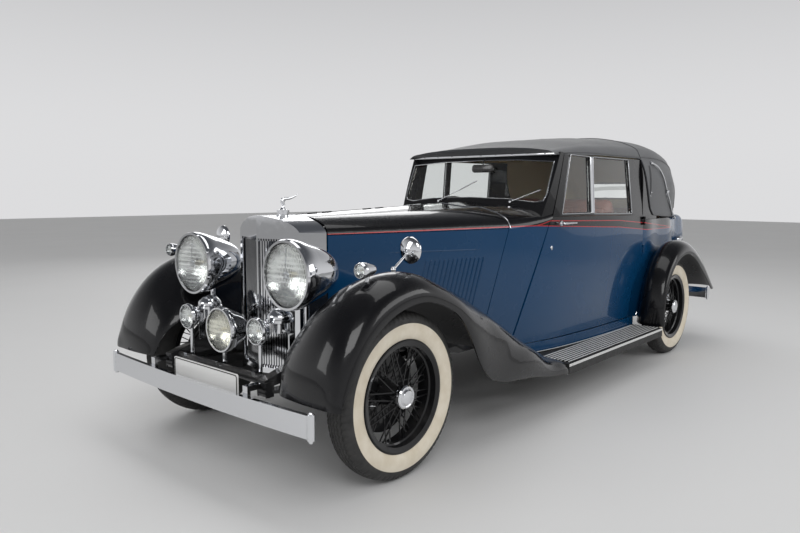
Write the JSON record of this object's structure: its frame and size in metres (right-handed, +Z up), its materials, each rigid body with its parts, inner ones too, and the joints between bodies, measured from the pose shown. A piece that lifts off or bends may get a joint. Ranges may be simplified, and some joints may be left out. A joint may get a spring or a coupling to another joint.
{
  "type": "vintage two-door luxury car",
  "caption": "Two-door luxury car of the 1930s with a V radiator, long bonnet, flowing wings, wire wheels, rear-hinged doors and a closed folding head.",
  "frame": {"origin": "on the ground under the middle of the car's length and width", "axes": "+X forward, +Y to the car's left, +Z up"},
  "size_m": [4.7698, 1.7256, 1.6762],
  "materials": {
    "blue": "gloss coachwork paint",
    "black": "gloss coachwork paint",
    "wheel_enamel": "gloss enamel",
    "tyre": "rubber with a white wall",
    "chassis_black": "satin chassis paint",
    "cast": "cast and stove enamelled",
    "chrome": "polished",
    "glass": "clear",
    "cloth": "double-texture head cloth",
    "leather": "pleated hide",
    "wood": "varnished walnut",
    "steering_rim": "moulded rim",
    "board_metal": "polished ribs on black",
    "floor_board": "carpet over boards",
    "plate": "white enamel, blank"
  },
  "bodies": {
    "root": {"auxiliary_lamps": "chrome", "chassis_frame": "chassis_black", "dashboard": "wood", "engine": "cast", "exhaust": "cast", "fixed_glass": "glass", "floor": "floor_board", "front_axle": "chassis_black", "front_bumper": "chrome", "front_seats": "leather", "front_wing_left": "black", "front_wing_right": "black", "fuel_tank": "chassis_black", "headlamps": "chrome", "hood": "cloth", "horns": "chrome", "lamp_lenses": "glass", "landau_irons": "black", "leaf_springs": "chassis_black", "number_plate": "plate", "propeller_shaft": "chassis_black", "radiator_shell": "chrome", "radiator_shutters": "chrome", "rear_axle": "chassis_black", "rear_body": "blue", "rear_bumper": "chrome", "rear_seat": "leather", "rear_wing_left": "black", "rear_wing_right": "black", "running_boards": "board_metal", "scuttle": "blue", "steering_column": "chassis_black", "tail_lamps": "chrome", "windscreen_frame": "black", "wing_lamps": "chrome", "wipers": "chrome"},
    "steer_left": {"knuckle_left": "chassis_black"},
    "steer_right": {"knuckle_right": "chassis_black"},
    "track_rod": {"track_rod": "chassis_black"},
    "front_wheel_left": {"wheel_front_left": "wheel_enamel", "tyre_front_left": "tyre"},
    "front_wheel_right": {"wheel_front_right": "wheel_enamel", "tyre_front_right": "tyre"},
    "rear_wheel_left": {"wheel_rear_left": "wheel_enamel", "tyre_rear_left": "tyre"},
    "rear_wheel_right": {"wheel_rear_right": "wheel_enamel", "tyre_rear_right": "tyre"},
    "left_door": {"door_left": "blue", "door_glass_left": "glass", "door_handle_left": "chrome"},
    "right_door": {"door_right": "blue", "door_glass_right": "glass", "door_handle_right": "chrome"},
    "left_bonnet_top": {"bonnet_top_left": "black"},
    "right_bonnet_top": {"bonnet_top_right": "black"},
    "left_bonnet_side": {"bonnet_side_left": "blue"},
    "right_bonnet_side": {"bonnet_side_right": "blue"},
    "boot_lid": {"boot_lid": "blue"},
    "steering_wheel": {"steering_wheel": "steering_rim"}
  },
  "joints": [
    {"name": "steer_left", "type": "hinge", "parent": "root", "child": "steer_left", "pos_m": [1.825, 0.57, 0.368], "axis": [0, 0, 1], "range_deg": [-30, 30]},
    {"name": "steer_right", "type": "hinge", "parent": "root", "child": "steer_right", "pos_m": [1.825, -0.57, 0.368], "axis": [0, 0, 1], "range_deg": [-30.5, 30.5]},
    {"name": "track_rod", "type": "hinge", "parent": "steer_left", "child": "track_rod", "pos_m": [1.675, 0.57, 0.2894], "axis": [0, 0, 1], "range_deg": [-31, 31]},
    {"name": "steering_wheel", "type": "hinge", "parent": "root", "child": "steering_wheel", "pos_m": [-0.055, -0.305, 1.045], "axis": [-0.788, 0, 0.6157], "range_deg": [-425, 425]},
    {"name": "front_left_spin", "type": "hinge", "parent": "steer_left", "child": "front_wheel_left", "pos_m": [1.825, 0.711, 0.368], "axis": [0, 1, 0], "continuous": true},
    {"name": "front_right_spin", "type": "hinge", "parent": "steer_right", "child": "front_wheel_right", "pos_m": [1.825, -0.711, 0.368], "axis": [0, 1, 0], "continuous": true},
    {"name": "rear_left_spin", "type": "hinge", "parent": "root", "child": "rear_wheel_left", "pos_m": [-1.375, 0.711, 0.368], "axis": [0, 1, 0], "continuous": true},
    {"name": "rear_right_spin", "type": "hinge", "parent": "root", "child": "rear_wheel_right", "pos_m": [-1.375, -0.711, 0.368], "axis": [0, 1, 0], "continuous": true},
    {"name": "left_door_hinge", "type": "hinge", "parent": "root", "child": "left_door", "pos_m": [-1.041, 0.64475, 0.7], "axis": [0, 0, 1], "range_deg": [0, 55]},
    {"name": "right_door_hinge", "type": "hinge", "parent": "root", "child": "right_door", "pos_m": [-1.041, -0.64475, 0.7], "axis": [0, 0, -1], "range_deg": [0, 55]},
    {"name": "left_bonnet_top_hinge", "type": "hinge", "parent": "root", "child": "left_bonnet_top", "pos_m": [1.7787, 0, 1.128], "axis": [0.9992, 0, -0.039], "range_deg": [0, 60]},
    {"name": "left_bonnet_side_hinge", "type": "hinge", "parent": "left_bonnet_top", "child": "left_bonnet_side", "pos_m": [1.779, 0.216, 1.038], "axis": [0.9744, -0.2246, 0], "range_deg": [-61, 0]},
    {"name": "right_bonnet_top_hinge", "type": "hinge", "parent": "root", "child": "right_bonnet_top", "pos_m": [1.7787, 0, 1.128], "axis": [-0.9992, 0, 0.039], "range_deg": [0, 60]},
    {"name": "right_bonnet_side_hinge", "type": "hinge", "parent": "right_bonnet_top", "child": "right_bonnet_side", "pos_m": [1.779, -0.216, 1.038], "axis": [-0.9744, -0.2246, 0], "range_deg": [-61, 0]},
    {"name": "boot_lid_hinge", "type": "hinge", "parent": "root", "child": "boot_lid", "pos_m": [-2.198, 0, 1.06859], "axis": [0, 1, 0], "range_deg": [0, 75]}
  ],
  "couplings": [
    {"joint": "steer_right", "follows": "steer_left", "ratio": 1},
    {"joint": "track_rod", "follows": "steer_left", "ratio": -1},
    {"joint": "steering_wheel", "follows": "steer_left", "ratio": 14},
    {"joint": "left_bonnet_side_hinge", "follows": "left_bonnet_top_hinge", "ratio": -1},
    {"joint": "right_bonnet_side_hinge", "follows": "right_bonnet_top_hinge", "ratio": -1}
  ]
}
